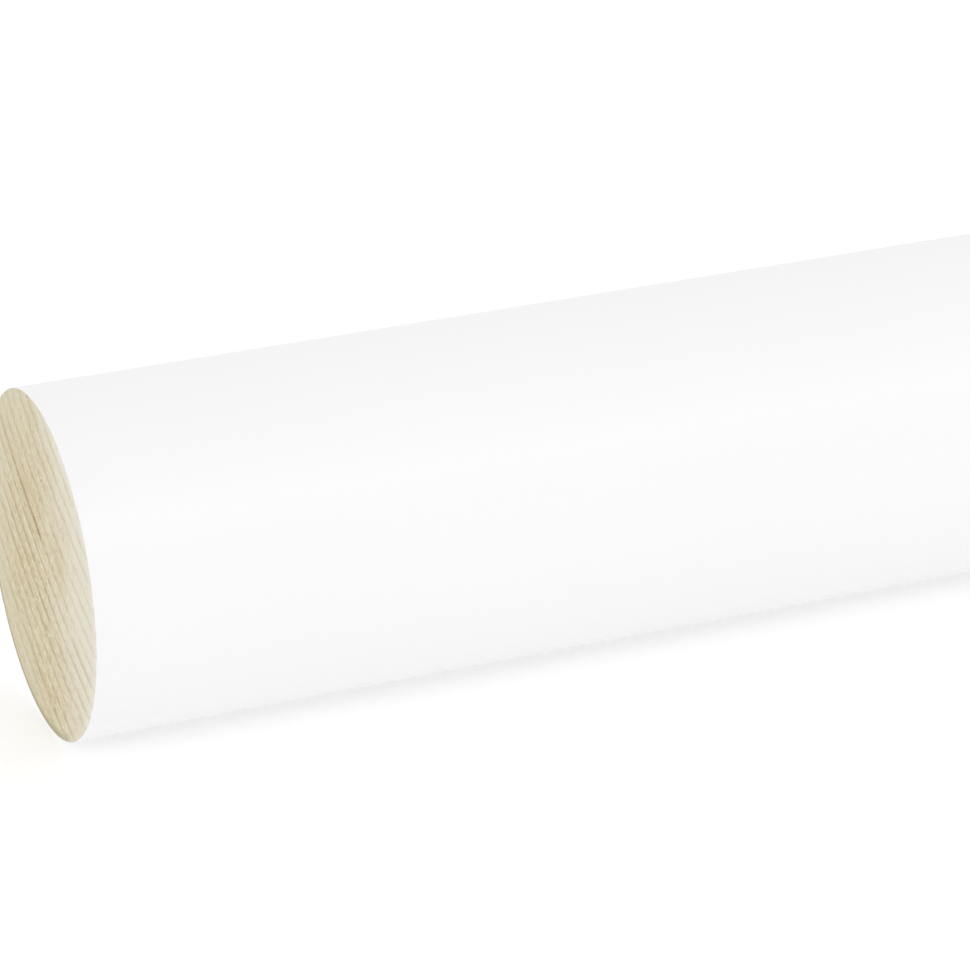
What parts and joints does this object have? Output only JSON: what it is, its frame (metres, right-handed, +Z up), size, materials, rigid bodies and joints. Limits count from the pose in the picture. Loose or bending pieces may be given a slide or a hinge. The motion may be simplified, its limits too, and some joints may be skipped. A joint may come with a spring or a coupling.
{
  "type": "round timber rod",
  "caption": "Straight round rod of softwood, painted white along its side and sawn square at its bare ends, for rails, pegs and trim.",
  "frame": {"origin": "on the floor, under the middle of the rod as it lies", "axes": "+X along the rod's axis, +Z up"},
  "size_m": [1, 0.034, 0.034],
  "materials": {
    "painted_timber": "satin"
  },
  "bodies": {
    "root": {"round_rod": "painted_timber"}
  },
  "joints": []
}
